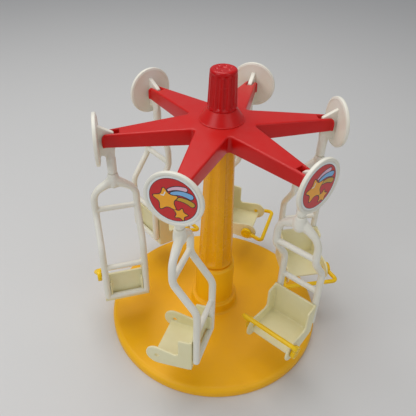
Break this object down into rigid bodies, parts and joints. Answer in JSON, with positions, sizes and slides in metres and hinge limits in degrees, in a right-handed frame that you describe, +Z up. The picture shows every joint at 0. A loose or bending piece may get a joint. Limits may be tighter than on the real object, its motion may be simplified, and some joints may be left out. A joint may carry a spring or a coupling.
{
  "type": "toy merry-go-round",
  "caption": "Toy swing carousel: round base, fluted column, hand-turned rotor and hanging seats with tilting safety bars.",
  "frame": {"origin": "middle of the base's underside, on the column's axis", "axes": "+Z up along the column; +X along the first arm"},
  "size_m": [0.2086, 0.2017, 0.232],
  "materials": {
    "yellow_base": "moulded, satin to glossy",
    "yellow_column": "moulded, glossy",
    "red_rotor": "moulded, glossy",
    "red_knob": "moulded, glossy",
    "white_hanger": "moulded, glossy, slightly aged",
    "cream_seat": "moulded, satin",
    "yellow_bar": "moulded, glossy",
    "label_print": "printed, coated paper",
    "washer_white": "low-friction plastic",
    "steel": "turned steel"
  },
  "bodies": {
    "base": {"base_plate": "yellow_base", "column": "yellow_column", "spindle": "steel", "thrust_washer": "washer_white", "retaining_ring": "steel"},
    "rotor": {"star_rotor": "red_rotor", "knob": "red_knob"},
    "hanger_1": {"sign_hanger_1": "white_hanger", "sign_label_1": "label_print"},
    "chair_1": {"seat_frame_1": "white_hanger", "seat_1": "cream_seat"},
    "bar_1": {"safety_bar_1": "yellow_bar"},
    "hanger_2": {"sign_hanger_2": "white_hanger", "sign_label_2": "label_print"},
    "chair_2": {"seat_frame_2": "white_hanger", "seat_2": "cream_seat"},
    "bar_2": {"safety_bar_2": "yellow_bar"},
    "hanger_3": {"sign_hanger_3": "white_hanger", "sign_label_3": "label_print"},
    "chair_3": {"seat_frame_3": "white_hanger", "seat_3": "cream_seat"},
    "bar_3": {"safety_bar_3": "yellow_bar"},
    "hanger_4": {"sign_hanger_4": "white_hanger", "sign_label_4": "label_print"},
    "chair_4": {"seat_frame_4": "white_hanger", "seat_4": "cream_seat"},
    "bar_4": {"safety_bar_4": "yellow_bar"},
    "hanger_5": {"sign_hanger_5": "white_hanger", "sign_label_5": "label_print"},
    "chair_5": {"seat_frame_5": "white_hanger", "seat_5": "cream_seat"},
    "hanger_6": {"sign_hanger_6": "white_hanger", "sign_label_6": "label_print"},
    "chair_6": {"seat_frame_6": "white_hanger", "seat_6": "cream_seat"},
    "bar_6": {"safety_bar_6": "yellow_bar"}
  },
  "joints": [
    {"name": "rotor_spin", "type": "hinge", "parent": "base", "child": "rotor", "pos_m": [0, 0, 0.1968], "axis": [0, 0, 1], "continuous": true},
    {"name": "hanger_swing_1", "type": "hinge", "parent": "rotor", "child": "hanger_1", "pos_m": [0.078, 0, 0.18602], "axis": [0, -1, 0], "range_deg": [-10, 40]},
    {"name": "frame_swivel_1", "type": "hinge", "parent": "hanger_1", "child": "chair_1", "pos_m": [0.0785, 0, 0.15832], "axis": [0, 0, 1], "range_deg": [-20, 20]},
    {"name": "hanger_swing_2", "type": "hinge", "parent": "rotor", "child": "hanger_2", "pos_m": [0.039, 0.06755, 0.18602], "axis": [0.866, -0.5, 0], "range_deg": [-10, 40]},
    {"name": "frame_swivel_2", "type": "hinge", "parent": "hanger_2", "child": "chair_2", "pos_m": [0.03925, 0.06798, 0.15832], "axis": [0, 0, 1], "range_deg": [-20, 20]},
    {"name": "hanger_swing_3", "type": "hinge", "parent": "rotor", "child": "hanger_3", "pos_m": [-0.039, 0.06755, 0.18602], "axis": [0.866, 0.5, 0], "range_deg": [-10, 40]},
    {"name": "frame_swivel_3", "type": "hinge", "parent": "hanger_3", "child": "chair_3", "pos_m": [-0.03925, 0.06798, 0.15832], "axis": [0, 0, 1], "range_deg": [-20, 20]},
    {"name": "hanger_swing_4", "type": "hinge", "parent": "rotor", "child": "hanger_4", "pos_m": [-0.078, 0, 0.18602], "axis": [0, 1, 0], "range_deg": [-10, 40]},
    {"name": "frame_swivel_4", "type": "hinge", "parent": "hanger_4", "child": "chair_4", "pos_m": [-0.0785, 0, 0.15832], "axis": [0, 0, 1], "range_deg": [-26, 14]},
    {"name": "hanger_swing_5", "type": "hinge", "parent": "rotor", "child": "hanger_5", "pos_m": [-0.039, -0.06755, 0.18602], "axis": [-0.866, 0.5, 0], "range_deg": [-10, 40]},
    {"name": "frame_swivel_5", "type": "hinge", "parent": "hanger_5", "child": "chair_5", "pos_m": [-0.03925, -0.06798, 0.15832], "axis": [0, 0, 1], "range_deg": [-20, 20]},
    {"name": "hanger_swing_6", "type": "hinge", "parent": "rotor", "child": "hanger_6", "pos_m": [0.039, -0.06755, 0.18602], "axis": [-0.866, -0.5, 0], "range_deg": [-10, 40]},
    {"name": "frame_swivel_6", "type": "hinge", "parent": "hanger_6", "child": "chair_6", "pos_m": [0.03925, -0.06798, 0.15832], "axis": [0, 0, 1], "range_deg": [-29, 11]},
    {"name": "bar_tilt_1", "type": "hinge", "parent": "chair_1", "child": "bar_1", "pos_m": [0.0785, -0.0123, 0.04623], "axis": [-1, 0, 0], "range_deg": [-75, 120]},
    {"name": "bar_tilt_2", "type": "hinge", "parent": "chair_2", "child": "bar_2", "pos_m": [0.0499, 0.06183, 0.04623], "axis": [-0.5, -0.866, 0], "range_deg": [-67, 128]},
    {"name": "bar_tilt_3", "type": "hinge", "parent": "chair_3", "child": "bar_3", "pos_m": [-0.0286, 0.07413, 0.04623], "axis": [0.5, -0.866, 0], "range_deg": [-59, 136]},
    {"name": "bar_tilt_4", "type": "hinge", "parent": "chair_4", "child": "bar_4", "pos_m": [-0.07979, 0.01223, 0.04623], "axis": [0.9945, 0.1045, 0], "range_deg": [-45, 150]},
    {"name": "bar_tilt_6", "type": "hinge", "parent": "chair_6", "child": "bar_6", "pos_m": [0.02969, -0.07572, 0.04623], "axis": [-0.6293, 0.7771, 0], "range_deg": [-137, 58]}
  ]
}
